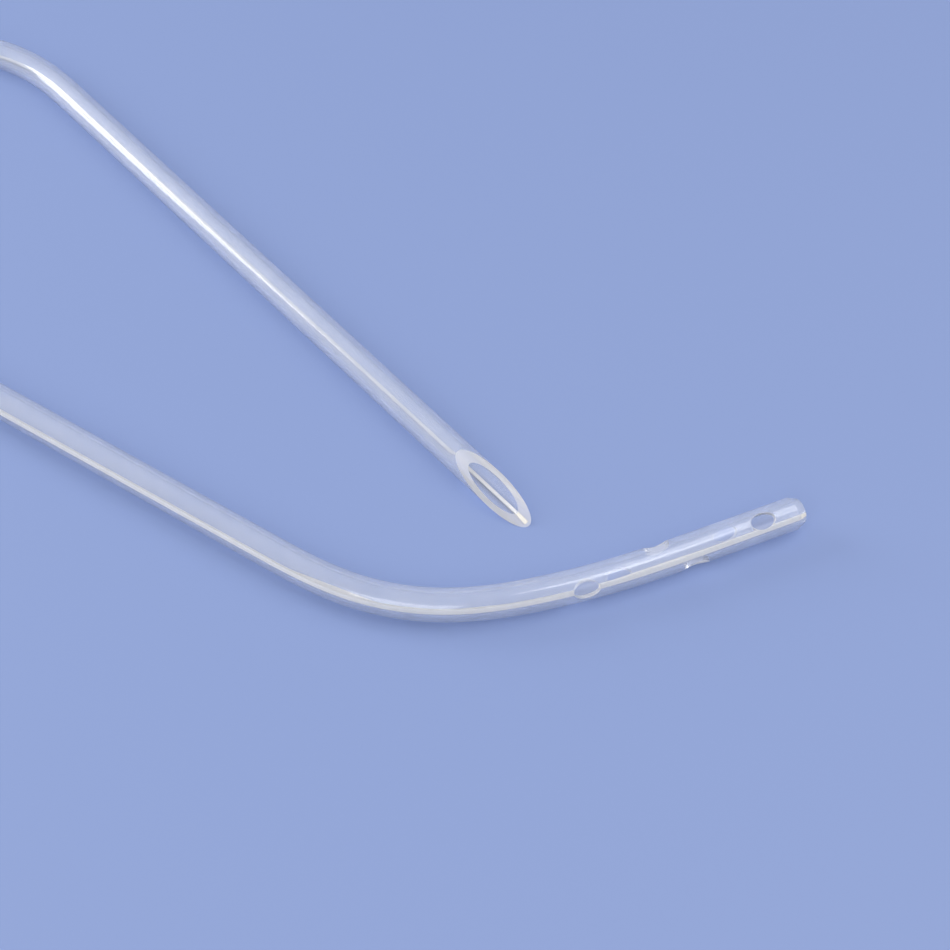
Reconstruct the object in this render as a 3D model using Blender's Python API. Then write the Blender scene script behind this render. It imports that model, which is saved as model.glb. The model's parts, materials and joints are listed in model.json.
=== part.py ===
"""Chest drainage tube, lying flat in one open loop.

One extruded tube of clear soft PVC with a radiopaque stripe run into its wall. The distal end is open, cut
square and chamfered, and six oval drainage eyes are punched one after another round the wall behind it. The
proximal end is cut off at a long slant. Metres, +Z up: the tube lies on Z = 0, and the origin is under the
middle of the box that it fills.

Stations are lengths along the tube's middle line, from the distal end. Angles round the wall start at the
left of someone who walks from the distal end, and rise over the top.
"""

import math
from collections import namedtuple

import bmesh
import bpy
from mathutils import Matrix, Vector

MM = 0.001

# The tube: 18 French, 20 inches long
TUBE_DIAMETER = 6.0 * MM
WALL = 1.02 * MM
TUBE_LENGTH = 508.0 * MM

# The distal end: the wall is chamfered outside down to a thin square rim
CHAMFER_LENGTH = 1.66 * MM
CHAMFER_DEPTH = 0.78 * MM

# The proximal end: a slanted plane cut from the heel to the toe, with the toe on the stripe
BEVEL_LENGTH = 17.9 * MM

# The radiopaque stripe: its width on the outside, and its angle round the wall of the lying tube, which
# drifts up to the loop and turns through the loop
STRIPE_WIDTH = 0.72 * MM
STRIPE_AT_TIP = 32.0
STRIPE_AT_LOOP = 13.0
STRIPE_AT_BEVEL = -72.0

# The drainage eyes, each punched through one wall at a station, and at an angle round the wall from the
# stripe
EYE_LENGTH = 4.7 * MM
EYE_WIDTH = 2.9 * MM
FIRST_EYE = 8.4 * MM
SECOND_EYE = 14.3 * MM
THIRD_EYE = 21.9 * MM
FOURTH_EYE = 27.8 * MM
FIFTH_EYE = 35.3 * MM
SIXTH_EYE = 42.6 * MM
EYES = (
    (FIRST_EYE, 35.0),
    (SECOND_EYE, 187.0),
    (THIRD_EYE, 302.0),
    (FOURTH_EYE, 115.0),
    (FIFTH_EYE, 221.0),
    (SIXTH_EYE, 0.0),
)

# How the tube lies: a turn's curvature rises over its easing, a share of its length, then holds at the
# radius, and falls again over the same share
HEADING_AT_TIP = 203.8
SLACK_START = 19.2 * MM
SLACK_TURN = 10.0
SLACK_RADIUS = 150.0 * MM
SLACK_EASING = 0.35
BEND_START = 46.9 * MM
BEND_TURN = 47.9
BEND_RADIUS = 42.5 * MM
BEND_EASING = 0.35
LOOP_CLOSING = 16.35
LOOP_TURN = 180.0 + LOOP_CLOSING
LOOP_RADIUS = 37.8 * MM
LOOP_EASING = 0.1
BEVELLED_LEG_EXTRA = 29.7 * MM

# How finely the solid is faceted
SIDES = 28
EYE_SIDES = 28
DEGREES_PER_SPAN = 5.0
LONGEST_SPAN = 15.0 * MM
ROUTE_STEP = 0.25 * MM

OUTER_RADIUS = TUBE_DIAMETER / 2
INNER_RADIUS = OUTER_RADIUS - WALL
UP = Vector((0, 0, 1))

Turn = namedtuple("Turn", "start length angle easing")


def right_turn(start, angle, radius, easing):
    """A turn of this angle that is as tight as the radius between its easings."""
    length = math.radians(angle) * radius / (1 - easing)
    return Turn(start, length, -angle, easing)


def lay_out_turns():
    """The slack of the perforated leg, the bend and the loop. The legs on both sides of the loop share the
    length that the turns leave."""
    slack = right_turn(SLACK_START, SLACK_TURN, SLACK_RADIUS, SLACK_EASING)
    bend = right_turn(BEND_START, BEND_TURN, BEND_RADIUS, BEND_EASING)
    loop = right_turn(0, LOOP_TURN, LOOP_RADIUS, LOOP_EASING)
    bend_end = bend.start + bend.length
    straight = TUBE_LENGTH - bend_end - loop.length
    return slack, bend, loop._replace(start=bend_end + (straight - BEVELLED_LEG_EXTRA) / 2)


TURNS = lay_out_turns()
LOOP = TURNS[-1]


def share_made(turn, station):
    """The share of a turn's angle that the tube has made at a station."""
    share = min(max((station - turn.start) / turn.length, 0.0), 1.0)
    from_end = min(share, 1 - share)
    if from_end < turn.easing:
        made = from_end ** 2 / (2 * turn.easing * (1 - turn.easing))
    else:
        made = (from_end - turn.easing / 2) / (1 - turn.easing)
    return made if share <= 0.5 else 1 - made


def heading(station):
    return HEADING_AT_TIP + sum(turn.angle * share_made(turn, station) for turn in TURNS)


def stripe_angle(station):
    drift = (STRIPE_AT_LOOP - STRIPE_AT_TIP) * min(station / LOOP.start, 1.0)
    in_loop = (STRIPE_AT_BEVEL - STRIPE_AT_LOOP) * share_made(LOOP, station)
    return STRIPE_AT_TIP + drift + in_loop


def walk_route():
    """Points of the middle line, one route step apart, starting at the distal end."""
    count = math.ceil(TUBE_LENGTH / ROUTE_STEP)
    step = TUBE_LENGTH / count
    points = [Vector((0, 0, OUTER_RADIUS))]
    for i in range(count):
        angle = math.radians(heading((i + 0.5) * step))
        points.append(points[-1] + step * Vector((math.cos(angle), math.sin(angle), 0)))
    return points, step


ROUTE, STEP = walk_route()


def centre(station):
    """The point of the middle line at a station."""
    before = min(int(station / STEP), len(ROUTE) - 2)
    return ROUTE[before].lerp(ROUTE[before + 1], station / STEP - before)


def along(station):
    angle = math.radians(heading(station))
    return Vector((math.cos(angle), math.sin(angle), 0))


def outward(station, angle_from_stripe):
    """The direction out of the wall, at an angle round it from the stripe."""
    angle = math.radians(stripe_angle(station) + angle_from_stripe)
    return math.cos(angle) * UP.cross(along(station)) + math.sin(angle) * UP


def ring_angles():
    """Angles of a ring's corners from the stripe. The first side is the stripe, and the others share the
    rest of the circle."""
    stripe = math.degrees(STRIPE_WIDTH / OUTER_RADIUS)
    other = (360 - stripe) / (SIDES - 1)
    return [-stripe / 2] + [stripe / 2 + i * other for i in range(SIDES - 1)]


def ring_stations():
    """Stations of the rings from behind the chamfer to before the bevel, close together in the turns."""
    stations = [CHAMFER_LENGTH]
    last = TUBE_LENGTH - BEVEL_LENGTH - WALL
    station = CHAMFER_LENGTH
    while station < last:
        station = min(station + STEP, last)
        turned = abs(heading(station) - heading(stations[-1]))
        if turned >= DEGREES_PER_SPAN or station - stations[-1] >= LONGEST_SPAN or station == last:
            stations.append(station)
    return stations


def square_ring(station, radius):
    middle = centre(station)
    return [middle + radius * outward(station, angle) for angle in ring_angles()]


def bevelled_ring(radius):
    """The last ring, slid along the straight end of the tube onto the slanted plane of the cut."""
    corners = []
    for angle in ring_angles():
        reach = (radius / OUTER_RADIUS) * math.cos(math.radians(angle))
        station = TUBE_LENGTH - BEVEL_LENGTH * (1 - reach) / 2
        corners.append(centre(station) + radius * outward(station, angle))
    return corners


def material(name, colour, roughness):
    made = bpy.data.materials.new(name)
    made.use_nodes = True
    made.diffuse_color = (*colour, 1)
    shader = made.node_tree.nodes["Principled BSDF"]
    shader.inputs["Base Color"].default_value = (*colour, 1)
    shader.inputs["Roughness"].default_value = roughness
    shader.inputs["Metallic"].default_value = 0
    return made


def add_skin(mesh, rings):
    """A skin of four-sided faces over rings of corners, and the corners it used."""
    corners = [[mesh.verts.new(point) for point in ring] for ring in rings]
    for ring, following in zip(corners, corners[1:]):
        for i in range(SIDES):
            j = (i + 1) % SIDES
            face = mesh.faces.new((ring[i], ring[j], following[j], following[i]))
            face.smooth = True
    return corners


def make_tube():
    stations = ring_stations()
    outside = [square_ring(0, OUTER_RADIUS - CHAMFER_DEPTH)]
    outside += [square_ring(station, OUTER_RADIUS) for station in stations]
    outside.append(bevelled_ring(OUTER_RADIUS))
    inside = [square_ring(0, INNER_RADIUS)]
    inside += [square_ring(station, INNER_RADIUS) for station in stations]
    inside.append(bevelled_ring(INNER_RADIUS))

    mesh = bmesh.new()
    outer = add_skin(mesh, outside)
    for face in list(mesh.faces)[::SIDES]:
        face.material_index = 1
    inner = add_skin(mesh, inside)
    for end in (0, -1):
        for i in range(SIDES):
            j = (i + 1) % SIDES
            mesh.faces.new((outer[end][i], outer[end][j], inner[end][j], inner[end][i]))
    bmesh.ops.recalc_face_normals(mesh, faces=mesh.faces)

    data = bpy.data.meshes.new("drainage_tube")
    mesh.to_mesh(data)
    mesh.free()
    data.materials.append(material("clear_pvc", (0.78, 0.83, 0.90), 0.25))
    data.materials.append(material("radiopaque_pvc", (0.90, 0.87, 0.80), 0.35))
    tube = bpy.data.objects.new("drainage_tube", data)
    bpy.context.scene.collection.objects.link(tube)
    return tube


def make_eye_punch(number, station, angle):
    """An oval punch that stands on the middle line and comes out through one wall."""
    mesh = bmesh.new()
    bmesh.ops.create_cone(
        mesh, cap_ends=True, segments=EYE_SIDES, radius1=0.5, radius2=0.5, depth=1.0
    )
    height = OUTER_RADIUS + WALL
    out = outward(station, angle)
    lengthwise = along(station)
    across = out.cross(lengthwise)
    size = Matrix.Diagonal((EYE_LENGTH, EYE_WIDTH, height, 1))
    turned = Matrix((lengthwise, across, out)).transposed().to_4x4()
    place = Matrix.Translation(centre(station) + out * height / 2)
    mesh.transform(place @ turned @ size)
    data = bpy.data.meshes.new(f"eye_punch_{number}")
    mesh.to_mesh(data)
    mesh.free()
    punch = bpy.data.objects.new(data.name, data)
    bpy.context.scene.collection.objects.link(punch)
    punch.hide_render = True
    punch.display_type = "WIRE"
    return punch


def clear_scene():
    for old in list(bpy.data.objects):
        bpy.data.objects.remove(old, do_unlink=True)


def main():
    clear_scene()
    tube = make_tube()
    low = Vector([min(v.co[axis] for v in tube.data.vertices) for axis in range(3)])
    high = Vector([max(v.co[axis] for v in tube.data.vertices) for axis in range(3)])
    to_origin = -Vector(((low.x + high.x) / 2, (low.y + high.y) / 2, low.z))
    tube.location = to_origin
    for number, (station, angle) in enumerate(EYES, start=1):
        punch = make_eye_punch(number, station, angle)
        punch.location = to_origin
        cut = tube.modifiers.new(f"eye_{number}", "BOOLEAN")
        cut.operation = "DIFFERENCE"
        cut.solver = "EXACT"
        cut.object = punch


main()
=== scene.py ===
"""A chest drainage tube of clear soft PVC, lying in one open loop on a pale table.

The real tube is extruded straight, with a radiopaque stripe run into its wall, then punched, cut and
packed. It is made the same way here: the tube and its stripe are drawn out along X, punched and cut while
straight, and then laid along the route that the tube takes on the table. Metres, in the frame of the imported
part.

Stations are lengths along the tube's middle line, from the distal end. Angles round the wall start at the
stripe, which is at the left of someone who walks from the distal end when the turn of the tube is zero.
"""

import json
import math
from collections import namedtuple

import bmesh
import bpy
from mathutils import Matrix, Vector

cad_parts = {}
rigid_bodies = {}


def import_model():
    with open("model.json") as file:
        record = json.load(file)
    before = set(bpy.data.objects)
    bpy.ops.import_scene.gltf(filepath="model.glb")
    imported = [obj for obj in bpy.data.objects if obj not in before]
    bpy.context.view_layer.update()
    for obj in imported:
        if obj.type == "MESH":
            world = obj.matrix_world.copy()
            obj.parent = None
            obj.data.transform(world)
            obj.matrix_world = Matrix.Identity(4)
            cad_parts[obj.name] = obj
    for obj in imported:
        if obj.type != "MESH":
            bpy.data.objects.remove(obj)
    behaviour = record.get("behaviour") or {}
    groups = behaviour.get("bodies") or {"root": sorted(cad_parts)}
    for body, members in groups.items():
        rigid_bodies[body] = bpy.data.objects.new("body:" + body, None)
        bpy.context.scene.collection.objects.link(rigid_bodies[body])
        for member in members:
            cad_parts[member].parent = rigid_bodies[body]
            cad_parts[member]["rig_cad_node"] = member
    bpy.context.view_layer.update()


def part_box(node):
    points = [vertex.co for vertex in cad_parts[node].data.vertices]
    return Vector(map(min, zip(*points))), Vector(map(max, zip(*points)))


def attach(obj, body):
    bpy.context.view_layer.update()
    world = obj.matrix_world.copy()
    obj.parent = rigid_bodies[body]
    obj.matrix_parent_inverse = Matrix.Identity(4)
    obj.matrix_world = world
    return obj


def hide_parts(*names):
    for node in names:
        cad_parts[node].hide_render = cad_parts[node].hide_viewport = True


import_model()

MM = 0.001

# The view: looking down on the table from in front, as the photograph does, with a longish lens

VIEW_TARGET = Vector((50.0, -43.8, 0.0)) * MM
VIEW_ELEVATION = math.radians(50.0)
VIEW_DISTANCE = 394.9 * MM
SENSOR = 36.0
LENS = 82.1

toward_viewer = Vector((0, -math.cos(VIEW_ELEVATION), math.sin(VIEW_ELEVATION)))
camera = bpy.data.objects.new("camera", bpy.data.cameras.new("camera"))
camera.data.sensor_width = SENSOR
camera.data.lens = LENS
camera.location = VIEW_TARGET + VIEW_DISTANCE * toward_viewer
camera.rotation_euler = toward_viewer.to_track_quat("Z", "Y").to_euler()
bpy.context.scene.collection.objects.link(camera)
bpy.context.scene.camera = camera
bpy.context.scene.view_settings.view_transform = "Standard"


# The drainage tube: one extrusion of clear plasticised PVC, 18 French by 508 mm. Its distal end is ground
# to a chamfer, six oval eyes are punched through one wall each, and its proximal end is cut off at a long
# slant. Soft and springy, it lies on the table in one open loop, with a bend behind its eyes.

TUBE_DIAMETER = 6.0 * MM
WALL = 1.02 * MM
TUBE_LENGTH = 508.0 * MM
CHAMFER_LENGTH = 1.66 * MM
CHAMFER_DEPTH = 0.78 * MM
BEVEL_LENGTH = 17.9 * MM
SHOULDER_FILLET = 0.25 * MM
RIM_FILLET = 0.08 * MM
BORE_FILLET = 0.06 * MM
OUTER_RADIUS = TUBE_DIAMETER / 2
INNER_RADIUS = OUTER_RADIUS - WALL

EYE_LENGTH = 4.7 * MM
EYE_WIDTH = 2.9 * MM
EYE_LIP = 0.14 * MM
EYE_LIP_STEPS = (0, 20, 40, 60)
PUNCH_CLEARANCE = 2 * EYE_LIP
PUNCH_FLARE = 4.3 * EYE_LIP
EYES = (
    (8.4 * MM, 35.0),
    (14.3 * MM, 187.0),
    (21.9 * MM, 302.0),
    (27.8 * MM, 115.0),
    (35.3 * MM, 221.0),
    (42.6 * MM, 0.0),
)

HEADING_AT_TIP = 203.8
SLACK_START = 19.2 * MM
SLACK_TURN = 10.0
SLACK_RADIUS = 150.0 * MM
SLACK_EASING = 0.35
BEND_START = 46.9 * MM
BEND_TURN = 47.9
BEND_RADIUS = 42.5 * MM
BEND_EASING = 0.35
LOOP_TURN = 196.35
LOOP_RADIUS = 37.8 * MM
LOOP_EASING = 0.1
BEVELLED_LEG_EXTRA = 29.7 * MM
STRIPE_AT_TIP = 32.0
STRIPE_AT_LOOP = 13.0
STRIPE_AT_BEVEL = -72.0

RING_SPACING = 2.5 * MM
RING_SPACING_AT_EYES = 1.0 * MM
EYED_LENGTH = 47.0 * MM
OVERRUN = 1.0 * MM
RING_SIDES = 96
EYE_SIDES = 48
ROUTE_STEP = 1.0 * MM
CUT_TOLERANCE = 0.02 * MM
SHARP_ANGLE = 35.0

Turn = namedtuple("Turn", "start length angle easing")


def right_turn(start, angle, radius, easing):
    """A turn whose curvature rises over its easing, a share of its length, then holds at the radius, and
    falls again over the same share."""
    return Turn(start, math.radians(angle) * radius / (1 - easing), -angle, easing)


def share_made(turn, station):
    """The share of a turn's angle that the tube has made at a station."""
    share = min(max((station - turn.start) / turn.length, 0.0), 1.0)
    from_end = min(share, 1 - share)
    if from_end < turn.easing:
        made = from_end**2 / (2 * turn.easing * (1 - turn.easing))
    else:
        made = (from_end - turn.easing / 2) / (1 - turn.easing)
    return made if share <= 0.5 else 1 - made


slack = right_turn(SLACK_START, SLACK_TURN, SLACK_RADIUS, SLACK_EASING)
bend = right_turn(BEND_START, BEND_TURN, BEND_RADIUS, BEND_EASING)
loop = right_turn(0, LOOP_TURN, LOOP_RADIUS, LOOP_EASING)
bend_end = bend.start + bend.length
straight_length = TUBE_LENGTH - bend_end - loop.length
loop = loop._replace(start=bend_end + (straight_length - BEVELLED_LEG_EXTRA) / 2)


def heading(station):
    turned = sum(turn.angle * share_made(turn, station) for turn in (slack, bend, loop))
    return math.radians(HEADING_AT_TIP + turned)


def stripe_turn(station):
    """How far the tube is turned about its own line, so that the stripe lies where it does."""
    drift = (STRIPE_AT_LOOP - STRIPE_AT_TIP) * min(station / loop.start, 1.0)
    in_loop = (STRIPE_AT_BEVEL - STRIPE_AT_LOOP) * share_made(loop, station)
    return math.radians(STRIPE_AT_TIP + drift + in_loop)


def radius_at(station):
    return OUTER_RADIUS - CHAMFER_DEPTH * max(1 - station / CHAMFER_LENGTH, 0)


def walk_route():
    """The tube's middle line, centred under the tube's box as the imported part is."""
    count = round(TUBE_LENGTH / ROUTE_STEP)
    points = [Vector((0, 0, OUTER_RADIUS))]
    for i in range(count):
        angle = heading((i + 0.5) * ROUTE_STEP)
        points.append(points[-1] + ROUTE_STEP * Vector((math.cos(angle), math.sin(angle), 0)))
    sides = []
    for i, point in enumerate(points):
        angle = heading(i * ROUTE_STEP)
        left = radius_at(i * ROUTE_STEP) * Vector((-math.sin(angle), math.cos(angle), 0))
        sides += [point + left, point - left]
    low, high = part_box("drainage_tube")
    shift = (low + high) / 2
    for axis in (0, 1):
        shift[axis] -= (min(p[axis] for p in sides) + max(p[axis] for p in sides)) / 2
    shift.z = low.z
    return [point + shift for point in points]


def helper(name, data):
    """A new object with this data, linked to the scene."""
    made = bpy.data.objects.new(name, data)
    bpy.context.scene.collection.objects.link(made)
    return made


def helper_line(name, points, cyclic=False):
    """A line of straight runs through points, to be swept along or swept itself."""
    data = bpy.data.curves.new(name, "CURVE")
    data.dimensions = "3D"
    spline = data.splines.new("POLY")
    spline.points.add(len(points) - 1)
    for spot, point in zip(spline.points, points):
        spot.co = (*point, 1)
    spline.use_cyclic_u = cyclic
    return helper(name, data)


def helper_points(name, points, edges, attribute, values):
    """Points with one number each, joined by edges where they are a route."""
    data = bpy.data.meshes.new(name)
    data.from_pydata([tuple(p) for p in points], edges, [])
    data.attributes.new(attribute, "FLOAT", "POINT").data.foreach_set("value", values)
    return helper(name, data)


route_points = walk_route()
route_edges = [(i, i + 1) for i in range(len(route_points) - 1)]
stripe_turns = [stripe_turn(i * ROUTE_STEP) for i in range(len(route_points))]
route = helper_points("route", route_points, route_edges, "turn", stripe_turns)


def filleted(corners, steps=4):
    """An outline's points, with an arc of the given radius at each corner that has one."""
    points = []
    for i, (x, y, radius) in enumerate(corners):
        here = Vector((x, y))
        if not radius:
            points.append(here)
            continue
        back = (Vector(corners[i - 1][:2]) - here).normalized()
        ahead = (Vector(corners[(i + 1) % len(corners)][:2]) - here).normalized()
        half = back.angle(ahead) / 2
        middle = here + (back + ahead).normalized() * radius / math.sin(half)
        start = here + back * radius / math.tan(half) - middle
        end = here + ahead * radius / math.tan(half) - middle
        sweep = start.angle_signed(end)
        for step in range(steps + 1):
            points.append(middle + Matrix.Rotation(-sweep * step / steps, 2) @ start)
    return points


def divided(points):
    """A closed outline, with its long sides divided into even steps, which are short at the eyes."""
    result = []
    for i, point in enumerate(points):
        following = points[(i + 1) % len(points)]
        spacing = RING_SPACING_AT_EYES if max(point.x, following.x) <= EYED_LENGTH else RING_SPACING
        count = max(1, round((following - point).length / spacing))
        result += [point.lerp(following, k / count) for k in range(count)]
    return result


def section_line(name, corners):
    """The lengthwise section with these corners, each a station, a radius and a fillet. Swept round the
    tube, its own X runs along the tube, and its own Y out of it."""
    points = [(point.x, point.y - OUTER_RADIUS, 0) for point in divided(filleted(corners))]
    return helper_line(name, points, cyclic=True)


def round_line(name, angles, cyclic=False):
    """The line round the tube's skin that a section is swept along."""
    points = [(0, OUTER_RADIUS * math.cos(angle), OUTER_RADIUS * math.sin(angle)) for angle in angles]
    return helper_line(name, points, cyclic)


# The section of the wall runs from the rim along the skin and back along the bore. It overruns the toe, and
# the knife cuts it off there.
wall_corners = (
    (0, radius_at(0), RIM_FILLET),
    (CHAMFER_LENGTH, OUTER_RADIUS, SHOULDER_FILLET),
    (EYED_LENGTH, OUTER_RADIUS, 0),
    (TUBE_LENGTH + OVERRUN, OUTER_RADIUS, 0),
    (TUBE_LENGTH + OVERRUN, INNER_RADIUS, 0),
    (EYED_LENGTH, INNER_RADIUS, 0),
    (0, INNER_RADIUS, BORE_FILLET),
)
wall_section = section_line("wall_section", wall_corners)
ring_angles = [2 * math.pi * i / RING_SIDES for i in range(RING_SIDES)]
ring = round_line("ring", ring_angles, cyclic=True)
eye_stations = [(station, 0, 0) for station, _ in EYES]
eye_angles = [math.radians(angle) for _, angle in EYES]
eye_places = helper_points("eye_places", eye_stations, [], "angle", eye_angles)


def eye_punch(name, growth):
    """An oval punch that stands on the tube's line along +Y, with flat ends. Its rings between them lie on
    cylinders about that line, and it flares near the tube's skin, which leaves the eye a soft lip."""
    lip_steps = [math.radians(angle) for angle in EYE_LIP_STEPS]
    levels = [(OUTER_RADIUS - EYE_LIP * (1 - math.sin(a)), EYE_LIP * (1 - math.cos(a))) for a in lip_steps]
    levels.append((OUTER_RADIUS + PUNCH_CLEARANCE, PUNCH_FLARE))
    levels = [(0, 0), *levels, (OUTER_RADIUS + WALL, PUNCH_FLARE)]
    shape = bmesh.new()
    rings = []
    for radius, flare in levels:
        flat = radius == 0 or radius > OUTER_RADIUS + WALL / 2
        corners = []
        for i in range(EYE_SIDES):
            angle = 2 * math.pi * i / EYE_SIDES
            x = (EYE_LENGTH / 2 + flare + growth) * math.cos(angle)
            z = (EYE_WIDTH / 2 + flare + growth) * math.sin(angle)
            corners.append(shape.verts.new((x, radius if flat else math.sqrt(radius**2 - z**2), z)))
        rings.append(corners)
    for lower, upper in zip(rings, rings[1:]):
        for i in range(EYE_SIDES):
            j = (i + 1) % EYE_SIDES
            shape.faces.new((lower[i], lower[j], upper[j], upper[i]))
    shape.faces.new(rings[0])
    shape.faces.new(rings[-1])
    bmesh.ops.recalc_face_normals(shape, faces=shape.faces)
    data = bpy.data.meshes.new(name)
    shape.to_mesh(data)
    shape.free()
    return helper(name, data)


def bevel_knife(name, growth):
    """A block whose near face is the slanted cut, with the toe at the stripe's side."""
    block = 2 * BEVEL_LENGTH
    slope = BEVEL_LENGTH / TUBE_DIAMETER
    width = 2 * TUBE_DIAMETER
    middle = TUBE_LENGTH - BEVEL_LENGTH / 2 + block / 2 - growth
    shape = bmesh.new()
    bmesh.ops.create_cube(shape, size=1)
    sheared = Matrix(((block, slope * width, 0, middle), (0, width, 0, 0), (0, 0, width, 0), (0, 0, 0, 1)))
    shape.transform(sheared)
    data = bpy.data.meshes.new(name)
    shape.to_mesh(data)
    shape.free()
    return helper(name, data)


def add_node(tree, kind, sockets=None, **settings):
    """Adds a node with its settings. Each socket gets a value, or a link where another socket is given."""
    node = tree.nodes.new(kind)
    for name, value in settings.items():
        setattr(node, name, value)
    for name, value in (sockets or {}).items():
        for one in value if isinstance(value, list) else [value]:
            if isinstance(one, bpy.types.NodeSocket):
                tree.links.new(one, node.inputs[name])
            else:
                node.inputs[name].default_value = one
    return node.outputs


def extrude_punch_and_lay():
    """The tree that makes a piece of the tube: it sweeps a section along a path, takes away the eyes and
    the slant, marks the cut faces, and lays the straight piece along the route."""
    tree = bpy.data.node_groups.new("extrude_punch_and_lay", "GeometryNodeTree")
    tree.interface.new_socket(name="Piece", in_out="OUTPUT", socket_type="NodeSocketGeometry")
    for name in ("Path", "Section", "Eye Places", "Punch", "Knife", "Route"):
        tree.interface.new_socket(name=name, in_out="INPUT", socket_type="NodeSocketObject")
    for name in ("Skin Finish", "Cut Finish"):
        tree.interface.new_socket(name=name, in_out="INPUT", socket_type="NodeSocketMaterial")
    for name in ("Outer Radius", "Inner Radius", "Chamfer Length", "Cut Tolerance"):
        tree.interface.new_socket(name=name, in_out="INPUT", socket_type="NodeSocketFloat")
    given = add_node(tree, "NodeGroupInput")

    def shape_of(name):
        return add_node(tree, "GeometryNodeObjectInfo", {"Object": given[name]})["Geometry"]

    swept = add_node(
        tree,
        "GeometryNodeCurveToMesh",
        {"Curve": shape_of("Path"), "Profile Curve": shape_of("Section"), "Fill Caps": True},
    )["Mesh"]
    angle = add_node(tree, "GeometryNodeInputNamedAttribute", {"Name": "angle"}, data_type="FLOAT")
    turned = add_node(tree, "ShaderNodeCombineXYZ", {"X": angle["Attribute"]})["Vector"]
    punches = add_node(
        tree,
        "GeometryNodeInstanceOnPoints",
        {"Points": shape_of("Eye Places"), "Instance": shape_of("Punch"), "Rotation": turned},
    )["Instances"]
    punches = add_node(tree, "GeometryNodeRealizeInstances", {"Geometry": punches})["Geometry"]
    cut = add_node(
        tree,
        "GeometryNodeMeshBoolean",
        {"Mesh 1": swept, "Mesh 2": [punches, shape_of("Knife")]},
        operation="DIFFERENCE",
        solver="EXACT",
    )["Mesh"]

    place = add_node(tree, "GeometryNodeInputPosition")["Position"]
    parts = add_node(tree, "ShaderNodeSeparateXYZ", {"Vector": place})
    cross = add_node(tree, "ShaderNodeCombineXYZ", {"Y": parts["Y"], "Z": parts["Z"]})["Vector"]
    depth = add_node(tree, "ShaderNodeVectorMath", {0: cross}, operation="LENGTH")["Value"]
    bore = add_node(
        tree, "ShaderNodeMath", {0: given["Inner Radius"], 1: given["Cut Tolerance"]}, operation="ADD"
    )["Value"]
    skin = add_node(
        tree, "ShaderNodeMath", {0: given["Outer Radius"], 1: given["Cut Tolerance"]}, operation="SUBTRACT"
    )["Value"]
    in_bore = add_node(tree, "ShaderNodeMath", {0: depth, 1: bore}, operation="LESS_THAN")["Value"]
    on_skin = add_node(tree, "ShaderNodeMath", {0: depth, 1: skin}, operation="GREATER_THAN")["Value"]
    off_tip = add_node(
        tree, "ShaderNodeMath", {0: parts["X"], 1: given["Chamfer Length"]}, operation="GREATER_THAN"
    )["Value"]
    # A face belongs to the bore or to the skin if all its corners do
    by_corners = {"data_type": "BOOLEAN", "domain": "POINT"}
    in_bore = add_node(tree, "GeometryNodeFieldOnDomain", {"Value": in_bore}, **by_corners)["Value"]
    on_skin = add_node(tree, "GeometryNodeFieldOnDomain", {"Value": on_skin}, **by_corners)["Value"]
    uncut = add_node(tree, "ShaderNodeMath", {0: in_bore, 1: on_skin}, operation="ADD")["Value"]
    in_wall = add_node(tree, "ShaderNodeMath", {0: uncut, 1: 0.5}, operation="LESS_THAN")["Value"]
    in_wall = add_node(tree, "ShaderNodeMath", {0: in_wall, 1: off_tip}, operation="MULTIPLY")["Value"]
    rim = add_node(
        tree, "ShaderNodeMath", {0: parts["X"], 1: given["Cut Tolerance"]}, operation="LESS_THAN"
    )["Value"]
    is_cut = add_node(tree, "ShaderNodeMath", {0: in_wall, 1: rim}, operation="MAXIMUM")["Value"]
    marked = add_node(
        tree,
        "GeometryNodeStoreNamedAttribute",
        {"Geometry": cut, "Name": "cut", "Value": is_cut},
        data_type="BOOLEAN",
        domain="FACE",
    )["Geometry"]
    marked = add_node(
        tree,
        "GeometryNodeStoreNamedAttribute",
        {"Geometry": marked, "Name": "straight", "Value": place},
        data_type="FLOAT_VECTOR",
        domain="POINT",
    )["Geometry"]

    line = add_node(tree, "GeometryNodeMeshToCurve", {"Mesh": shape_of("Route")})["Curve"]
    turn_there = add_node(tree, "GeometryNodeInputNamedAttribute", {"Name": "turn"}, data_type="FLOAT")
    there = add_node(
        tree,
        "GeometryNodeSampleCurve",
        {"Curves": line, "Value": turn_there["Attribute"], "Length": parts["X"]},
        mode="LENGTH",
        data_type="FLOAT",
    )
    rolled = add_node(
        tree,
        "ShaderNodeVectorRotate",
        {"Vector": cross, "Angle": there["Value"]},
        rotation_type="X_AXIS",
    )["Vector"]
    rolled = add_node(tree, "ShaderNodeSeparateXYZ", {"Vector": rolled})
    left = add_node(
        tree, "ShaderNodeVectorMath", {0: (0, 0, 1), 1: there["Tangent"]}, operation="CROSS_PRODUCT"
    )["Vector"]
    left = add_node(tree, "ShaderNodeVectorMath", {0: left}, operation="NORMALIZE")["Vector"]
    sideways = add_node(
        tree, "ShaderNodeVectorMath", {0: left, "Scale": rolled["Y"]}, operation="SCALE"
    )["Vector"]
    upwards = add_node(tree, "ShaderNodeCombineXYZ", {"Z": rolled["Z"]})["Vector"]
    off_line = add_node(tree, "ShaderNodeVectorMath", {0: sideways, 1: upwards}, operation="ADD")["Vector"]
    laid = add_node(
        tree, "ShaderNodeVectorMath", {0: there["Position"], 1: off_line}, operation="ADD"
    )["Vector"]
    piece = add_node(tree, "GeometryNodeSetPosition", {"Geometry": marked, "Position": laid})["Geometry"]

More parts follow.
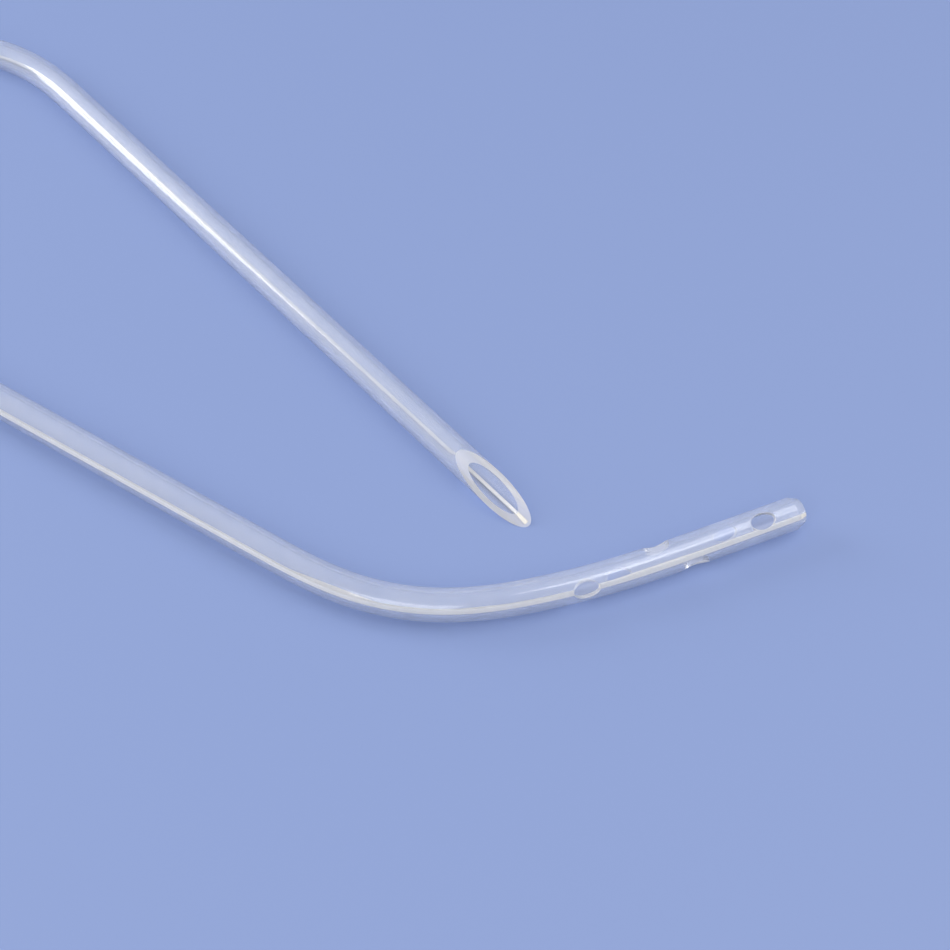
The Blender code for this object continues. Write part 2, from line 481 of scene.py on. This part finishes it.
    piece = add_node(tree, "GeometryNodeRealizeInstances", {"Geometry": piece})["Geometry"]
    piece = add_node(
        tree, "GeometryNodeSetMaterial", {"Geometry": piece, "Material": given["Skin Finish"]}
    )["Geometry"]
    on_cut = add_node(tree, "GeometryNodeInputNamedAttribute", {"Name": "cut"}, data_type="BOOLEAN")
    piece = add_node(
        tree,
        "GeometryNodeSetMaterial",
        {"Geometry": piece, "Selection": on_cut["Attribute"], "Material": given["Cut Finish"]},
    )["Geometry"]
    add_node(tree, "NodeGroupOutput", {"Piece": piece})
    return tree


def made_by(tree, name, **values):
    """The plain mesh that a tree makes with these inputs, as an object at the origin."""
    made = helper(name, bpy.data.meshes.new(name))
    modifier = made.modifiers.new(name, "NODES")
    modifier.node_group = tree
    for socket in tree.interface.items_tree:
        if socket.in_out == "INPUT":
            modifier[socket.identifier] = values[socket.name.replace(" ", "_").lower()]
    bpy.context.view_layer.update()
    graph = bpy.context.evaluated_depsgraph_get()
    mesh = bpy.data.meshes.new_from_object(
        made.evaluated_get(graph), preserve_all_data_layers=True, depsgraph=graph
    )
    made.modifiers.remove(modifier)
    made.data = mesh
    mesh.name = name
    mesh.shade_smooth()
    mesh.set_sharp_from_angle(angle=math.radians(SHARP_ANGLE))
    return made


def linear(hex_colour):
    """An sRGB colour such as "F4F7FC" as the linear colour that sockets take."""
    shares = [int(hex_colour[i : i + 2], 16) / 255 for i in (0, 2, 4)]
    return (*(s / 12.92 if s <= 0.04045 else ((s + 0.055) / 1.055) ** 2.4 for s in shares), 1.0)


def material(name, colour, **values):
    """A new material of a plain colour, with its tree and shader. A pattern may take the colour's place."""
    made = bpy.data.materials.new(name)
    made.use_nodes = True
    shader = made.node_tree.nodes["Principled BSDF"]
    shader.inputs["Base Color"].default_value = linear(colour)
    for socket, value in values.items():
        shader.inputs[socket.replace("_", " ")].default_value = value
    return made, made.node_tree, shader


LAMPLIGHT_PASSED = 0.88


def let_lamps_through(tree, shader):
    """Clear plastic hardly darkens what it covers. A ray that looks for a lamp passes each surface by this
    share, if it starts from something that is seen, so that no light is counted twice."""
    ray = add_node(tree, "ShaderNodeLightPath")
    seen = add_node(
        tree, "ShaderNodeMath", {0: ray["Diffuse Depth"], 1: 0.5}, operation="LESS_THAN"
    )["Value"]
    to_lamp = add_node(
        tree, "ShaderNodeMath", {0: ray["Is Shadow Ray"], 1: seen}, operation="MULTIPLY"
    )["Value"]
    passed = add_node(
        tree, "ShaderNodeMath", {0: to_lamp, 1: LAMPLIGHT_PASSED}, operation="MULTIPLY"
    )["Value"]
    way = add_node(tree, "ShaderNodeBsdfTransparent")["BSDF"]
    mixed = add_node(
        tree, "ShaderNodeMixShader", {0: passed, 1: shader.outputs["BSDF"], 2: way}
    )["Shader"]
    tree.links.new(mixed, tree.nodes["Material Output"].inputs["Surface"])


# Plasticised PVC, extruded: clear but a little milky, so each wall veils what is behind it, and slightly
# clouded in patches a few millimetres long. Its skin is satin, so its highlights are broad, though it is
# clear to look through. The die leaves fine lines along it, about 0.3 mm apart, drawn twice as coarse here.
CLOUD_SIZE = 4.0 * MM
DIE_LINE_SPACING = 0.6 * MM
DIE_LINE_DEPTH = 0.01 * MM
DIE_LINE_STRETCH = 0.02

clear_pvc, tree, shader = material(
    "clear_pvc_extruded",
    "F4F7FC",
    Roughness=0.08,
    IOR=1.53,
    Specular_IOR_Level=0.25,
    Transmission_Weight=0.83,
    Coat_Weight=0.6,
    Coat_Roughness=0.3,
)
straight = add_node(tree, "ShaderNodeAttribute", attribute_name="straight")["Vector"]
clouding = add_node(tree, "ShaderNodeTexNoise", {"Vector": straight, "Scale": 1 / CLOUD_SIZE})["Fac"]
shade = add_node(
    tree,
    "ShaderNodeMix",
    {"Factor": clouding, "A": linear("ECF0F8"), "B": linear("FCFDFF")},
    data_type="RGBA",
)["Result"]
tree.links.new(shade, shader.inputs["Base Color"])
drawn_out = add_node(
    tree, "ShaderNodeMapping", {"Vector": straight, "Scale": (DIE_LINE_STRETCH, 1, 1)}
)["Vector"]
die_lines = add_node(
    tree, "ShaderNodeTexNoise", {"Vector": drawn_out, "Scale": 1 / DIE_LINE_SPACING, "Detail": 2.0}
)["Fac"]
bumped = add_node(
    tree, "ShaderNodeBump", {"Height": die_lines, "Strength": 0.25, "Distance": DIE_LINE_DEPTH}
)["Normal"]
tree.links.new(bumped, shader.inputs["Normal"])
let_lamps_through(tree, shader)

# The same PVC where it was punched or sliced: the blade leaves it frosted, with fine drag marks
DRAG_MARK_SIZE = 0.4 * MM
DRAG_MARK_DEPTH = 0.02 * MM

cut_pvc, tree, shader = material(
    "clear_pvc_cut", "F0F0F5", Roughness=0.35, IOR=1.53, Transmission_Weight=0.5
)
straight = add_node(tree, "ShaderNodeAttribute", attribute_name="straight")["Vector"]
drag_marks = add_node(
    tree, "ShaderNodeTexNoise", {"Vector": straight, "Scale": 1 / DRAG_MARK_SIZE}
)["Fac"]
bumped = add_node(
    tree, "ShaderNodeBump", {"Height": drag_marks, "Strength": 0.3, "Distance": DRAG_MARK_DEPTH}
)["Normal"]
tree.links.new(bumped, shader.inputs["Normal"])
let_lamps_through(tree, shader)

laying_tree = extrude_punch_and_lay()
tube = made_by(
    laying_tree,
    "drainage_tube_clear",
    path=ring,
    section=wall_section,
    eye_places=eye_places,
    punch=eye_punch("eye_punch", 0),
    knife=bevel_knife("bevel_knife", 0),
    route=route,
    skin_finish=clear_pvc,
    cut_finish=cut_pvc,
    outer_radius=OUTER_RADIUS,
    inner_radius=INNER_RADIUS,
    chamfer_length=CHAMFER_LENGTH,
    cut_tolerance=CUT_TOLERANCE,
)
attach(tube, "root")
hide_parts("drainage_tube")


# The radiopaque stripe: a thin strand of PVC filled with barium sulphate, opaque and cream, that a second
# extruder runs into the wall, so that the tube shows on an X-ray. It is cut wherever the wall is cut.

STRIPE_WIDTH = 0.7 * MM
STRIPE_OUTSIDE = OUTER_RADIUS - 0.2 * MM
STRIPE_INSIDE = INNER_RADIUS + 0.05 * MM
STRIPE_PROUD = 0.01 * MM
STRIPE_SIDES = 6

# The stripe's section lies inside the wall, and reaches the surface on the ground chamfer and wherever the
# wall is cut
chamfered_to = CHAMFER_LENGTH * (1 - (OUTER_RADIUS - STRIPE_OUTSIDE) / CHAMFER_DEPTH)
stripe_corners = (
    (-STRIPE_PROUD, radius_at(0) + STRIPE_PROUD, RIM_FILLET),
    (chamfered_to, STRIPE_OUTSIDE + STRIPE_PROUD, 0),
    (EYED_LENGTH, STRIPE_OUTSIDE, 0),
    (TUBE_LENGTH + OVERRUN, STRIPE_OUTSIDE, 0),
    (TUBE_LENGTH + OVERRUN, STRIPE_INSIDE, 0),
    (EYED_LENGTH, STRIPE_INSIDE, 0),
    (-STRIPE_PROUD, STRIPE_INSIDE, 0),
)
stripe_section = section_line("stripe_section", stripe_corners)
stripe_half_angle = STRIPE_WIDTH / (STRIPE_OUTSIDE + STRIPE_INSIDE)
arc_angles = [stripe_half_angle * (2 * i / STRIPE_SIDES - 1) for i in range(STRIPE_SIDES + 1)]
arc = round_line("arc", arc_angles)

# Barium-filled PVC is dense and matt, with a faint grain of filler
GRAIN_SIZE = 0.5 * MM

barium_pvc, tree, shader = material("barium_filled_pvc", "F8F3E8", Roughness=0.5, IOR=1.54)
straight = add_node(tree, "ShaderNodeAttribute", attribute_name="straight")["Vector"]
grain = add_node(tree, "ShaderNodeTexNoise", {"Vector": straight, "Scale": 1 / GRAIN_SIZE})["Fac"]
shade = add_node(
    tree,
    "ShaderNodeMix",
    {"Factor": grain, "A": linear("F4EDDF"), "B": linear("FCF8F0")},
    data_type="RGBA",
)["Result"]
tree.links.new(shade, shader.inputs["Base Color"])

stripe = made_by(
    laying_tree,
    "radiopaque_stripe",
    path=arc,
    section=stripe_section,
    eye_places=eye_places,
    punch=eye_punch("stripe_punch", -STRIPE_PROUD),
    knife=bevel_knife("stripe_knife", -STRIPE_PROUD),
    route=route,
    skin_finish=barium_pvc,
    cut_finish=barium_pvc,
    outer_radius=OUTER_RADIUS,
    inner_radius=INNER_RADIUS,
    chamfer_length=CHAMFER_LENGTH,
    cut_tolerance=CUT_TOLERANCE,
)
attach(stripe, "root")

# The lines, points and cutters that shaped the two pieces have done their work
for leftover in [o for o in bpy.context.scene.objects if o.type in ("CURVE", "MESH")]:
    if leftover not in (tube, stripe) and "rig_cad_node" not in leftover:
        bpy.data.objects.remove(leftover, do_unlink=True)


# The table and the light: a plain pale blue table, a backdrop of the same colour that is seen past its edge,
# a pale room and four soft boxes. The one low at the left draws the highlight along the upper leg, and the
# wide one at the right lies along the top of the lower leg.

TABLE_REACH = 1.0
TABLE_DROP = 0.01 * MM
TABLE_COLOUR = "8C9FCF"
ROOM_GREY = 0.34

table_top = bpy.data.meshes.new("table_top")
corners = [(-TABLE_REACH, -TABLE_REACH, 0), (TABLE_REACH, -TABLE_REACH, 0)]
corners += [(TABLE_REACH, TABLE_REACH, 0), (-TABLE_REACH, TABLE_REACH, 0)]
table_top.from_pydata(corners, [], [(0, 1, 2, 3)])
table_paint = material("table_paint", TABLE_COLOUR, Roughness=0.6)[0]
table_top.materials.append(table_paint)
table = helper("table_top", table_top)
table.location.z = -TABLE_DROP

room = bpy.data.worlds.new("room")
room.use_nodes = True
ray = add_node(room.node_tree, "ShaderNodeLightPath")
seen = add_node(
    room.node_tree,
    "ShaderNodeMath",
    {0: ray["Is Camera Ray"], 1: ray["Is Glossy Ray"]},
    operation="ADD",
)["Value"]
seen = add_node(
    room.node_tree, "ShaderNodeMath", {0: seen, 1: ray["Is Transmission Ray"]}, operation="MAXIMUM"
)["Value"]
shade = add_node(
    room.node_tree,
    "ShaderNodeMix",
    {"Factor": seen, "A": (ROOM_GREY, ROOM_GREY, ROOM_GREY, 1.0), "B": linear(TABLE_COLOUR)},
    data_type="RGBA",
)["Result"]
room.node_tree.links.new(shade, room.node_tree.nodes["Background"].inputs["Color"])
bpy.context.scene.world = room

LIT_POINT = Vector((40.0, -30.0, 0.0)) * MM


def soft_box(name, azimuth, elevation, distance, width, height, brightness):
    """A soft box that faces the lit point, at angles in degrees. Its power follows from its size and the
    brightness of its face. The tube's gloss shows it, but it isn't seen through the tube."""
    data = bpy.data.lights.new(name, "AREA")
    data.shape = "RECTANGLE"
    data.size = width
    data.size_y = height
    data.energy = brightness * math.pi * width * height
    raised = Vector((math.cos(math.radians(elevation)), 0, math.sin(math.radians(elevation))))
    toward = Matrix.Rotation(math.radians(azimuth), 3, "Z") @ raised
    lamp = helper(name, data)
    lamp.location = LIT_POINT + distance * toward
    lamp.rotation_euler = toward.to_track_quat("Z", "Y").to_euler()
    lamp.visible_transmission = False


soft_box("soft_box_left", 160, 20, distance=0.9, width=0.50, height=0.42, brightness=7.5)
soft_box("soft_box_above", -19, 70, distance=0.8, width=0.20, height=0.20, brightness=4.0)
soft_box("soft_box_front", 252, 35, distance=0.9, width=0.60, height=0.40, brightness=3.3)
soft_box("soft_box_right", 14, 55, distance=1.0, width=0.70, height=0.70, brightness=2.6)
